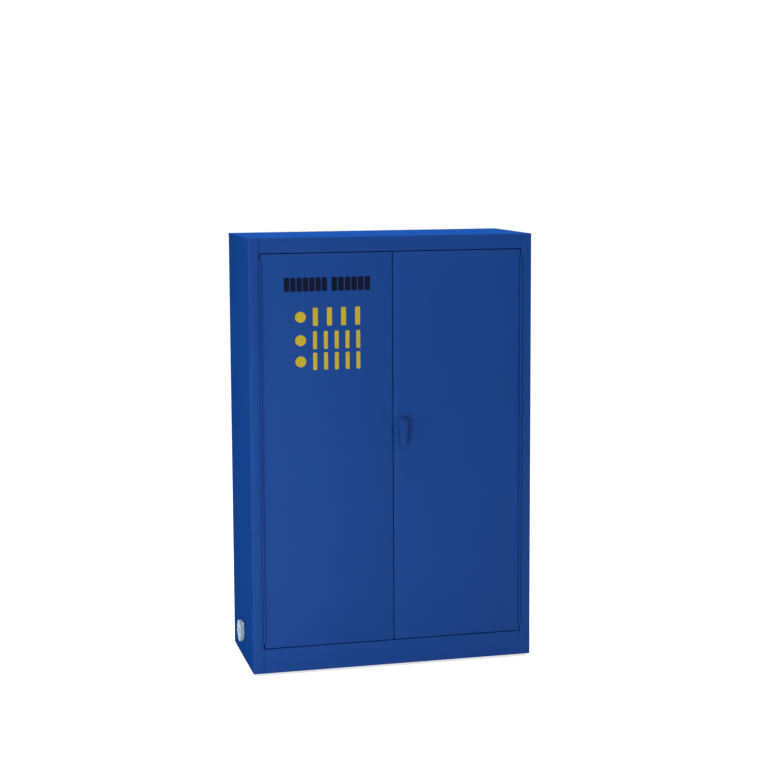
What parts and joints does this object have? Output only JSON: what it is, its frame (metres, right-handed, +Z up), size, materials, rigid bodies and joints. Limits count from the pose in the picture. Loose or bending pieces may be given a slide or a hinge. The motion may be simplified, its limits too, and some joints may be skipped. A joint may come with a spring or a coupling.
{
  "type": "acid storage cabinet",
  "caption": "Double-walled blue steel safety cabinet for acids: hinged doors, three-point latch, raised sill sump, lift-out shelves and trays, capped vents.",
  "frame": {"origin": "on the floor, below the middle of the whole object's box, handle and vent caps counted", "axes": "+X to the right seen from the doors, +Y from the doors to the back, +Z up"},
  "size_m": [1.132, 0.491, 1.651],
  "materials": {
    "blue_enamel": "glossy blue powder coat",
    "blue_enamel_inside": "glossy blue powder coat, less weathered",
    "zinc_plate": "bright zinc plating",
    "stainless": "brushed stainless steel",
    "chrome_plate": "polished chrome plating",
    "galvanised_shelf": "pale epoxy coating on steel",
    "white_polyethylene": "moulded polyethylene, satin",
    "vent_plastic": "white moulded plastic",
    "brass_screen": "plain brass",
    "foot_rubber": "black rubber-faced pad"
  },
  "bodies": {
    "cabinet": {"left_side_panel": "blue_enamel", "right_side_panel": "blue_enamel", "back_panel": "blue_enamel", "top_panel": "blue_enamel", "base_panel": "blue_enamel", "header_rail": "blue_enamel", "sill_rail": "blue_enamel", "liner_left": "blue_enamel_inside", "liner_right": "blue_enamel_inside", "liner_back": "blue_enamel_inside", "liner_top": "blue_enamel_inside", "sump_pan": "blue_enamel_inside", "sump_supports": "zinc_plate", "wall_spacers": "zinc_plate", "left_uprights": "zinc_plate", "right_uprights": "zinc_plate", "lower_shelf_clips": "zinc_plate", "upper_shelf_clips": "zinc_plate", "vent_bodies": "zinc_plate", "vent_locknuts": "zinc_plate", "flame_arresters": "brass_screen", "left_hinge_frame_leaf": "blue_enamel", "right_hinge_frame_leaf": "blue_enamel", "left_hinge_pin": "blue_enamel", "right_hinge_pin": "blue_enamel", "rod_strikes": "zinc_plate", "ground_stud": "zinc_plate"},
    "left_door": {"left_door_skin": "blue_enamel", "left_door_back": "blue_enamel_inside", "left_door_stiffener": "zinc_plate", "left_hinge_door_leaf": "blue_enamel", "tongue_strike": "zinc_plate"},
    "right_door": {"right_door_skin": "blue_enamel", "right_door_back": "blue_enamel_inside", "right_door_stiffener": "zinc_plate", "right_hinge_door_leaf": "blue_enamel", "latch_plate": "zinc_plate", "handle_base": "blue_enamel", "handle_screws": "zinc_plate", "rod_guides": "zinc_plate"},
    "handle": {"lever_handle": "blue_enamel", "latch_cam": "zinc_plate"},
    "lock": {"lock_cylinder": "chrome_plate"},
    "upper_rod": {"top_rod": "zinc_plate"},
    "lower_rod": {"bottom_rod": "zinc_plate"},
    "left_cap": {"left_vent_cap": "vent_plastic"},
    "right_cap": {"right_vent_cap": "vent_plastic"},
    "foot_1": {"leveling_foot_1": "foot_rubber"},
    "foot_2": {"leveling_foot_2": "foot_rubber"},
    "foot_3": {"leveling_foot_3": "foot_rubber"},
    "foot_4": {"leveling_foot_4": "foot_rubber"},
    "low_shelf": {"lower_shelf": "galvanised_shelf"},
    "high_shelf": {"upper_shelf": "galvanised_shelf"},
    "low_tray": {"lower_tray": "white_polyethylene"},
    "high_tray": {"upper_tray": "white_polyethylene"},
    "floor_tray": {"sump_tray": "white_polyethylene"}
  },
  "joints": [
    {"name": "left_door_hinge", "type": "hinge", "parent": "cabinet", "child": "left_door", "pos_m": [-0.5035, -0.215, 0.849], "axis": [0, 0, -1], "range_deg": [0, 180]},
    {"name": "right_door_hinge", "type": "hinge", "parent": "cabinet", "child": "right_door", "pos_m": [0.5035, -0.215, 0.849], "axis": [0, 0, 1], "range_deg": [0, 180]},
    {"name": "handle_turn", "type": "hinge", "parent": "right_door", "child": "handle", "pos_m": [0.0345, -0.2115, 0.945], "axis": [0, -1, 0], "range_deg": [0, 90]},
    {"name": "key_turn", "type": "hinge", "parent": "handle", "child": "lock", "pos_m": [0.0345, -0.2455, 0.945], "axis": [0, -1, 0], "range_deg": [0, 90]},
    {"name": "upper_rod_slide", "type": "slide", "parent": "right_door", "child": "upper_rod", "axis": [0, 0, 1], "range_m": [0, 0.018]},
    {"name": "lower_rod_slide", "type": "slide", "parent": "right_door", "child": "lower_rod", "axis": [0, 0, -1], "range_m": [0, 0.018]},
    {"name": "left_cap_turn", "type": "hinge", "parent": "cabinet", "child": "left_cap", "pos_m": [-0.546, 0.0245, 0.116], "axis": [-1, 0, 0], "continuous": true},
    {"name": "right_cap_turn", "type": "hinge", "parent": "cabinet", "child": "right_cap", "pos_m": [0.546, 0.0245, 1.501], "axis": [1, 0, 0], "continuous": true},
    {"name": "foot_1_turn", "type": "hinge", "parent": "cabinet", "child": "foot_1", "pos_m": [-0.486, -0.1515, 0.01], "axis": [0, 0, 1], "continuous": true},
    {"name": "foot_2_turn", "type": "hinge", "parent": "cabinet", "child": "foot_2", "pos_m": [-0.486, 0.1855, 0.01], "axis": [0, 0, 1], "continuous": true},
    {"name": "foot_3_turn", "type": "hinge", "parent": "cabinet", "child": "foot_3", "pos_m": [0.486, -0.1515, 0.01], "axis": [0, 0, 1], "continuous": true},
    {"name": "foot_4_turn", "type": "hinge", "parent": "cabinet", "child": "foot_4", "pos_m": [0.486, 0.1855, 0.01], "axis": [0, 0, 1], "continuous": true},
    {"name": "low_shelf_lift", "type": "slide", "parent": "cabinet", "child": "low_shelf", "axis": [0, 0, 1], "range_m": [0, 0.03]},
    {"name": "high_shelf_lift", "type": "slide", "parent": "cabinet", "child": "high_shelf", "axis": [0, 0, 1], "range_m": [0, 0.03]},
    {"name": "low_tray_lift", "type": "slide", "parent": "low_shelf", "child": "low_tray", "axis": [0, 0, 1], "range_m": [0, 0.1]},
    {"name": "high_tray_lift", "type": "slide", "parent": "high_shelf", "child": "high_tray", "axis": [0, 0, 1], "range_m": [0, 0.1]},
    {"name": "floor_tray_lift", "type": "slide", "parent": "cabinet", "child": "floor_tray", "axis": [0, 0, 1], "range_m": [0, 0.1]}
  ],
  "couplings": [
    {"joint": "upper_rod_slide", "follows": "handle_turn", "m_per_rad": 0.011459},
    {"joint": "lower_rod_slide", "follows": "handle_turn", "m_per_rad": 0.011459}
  ]
}
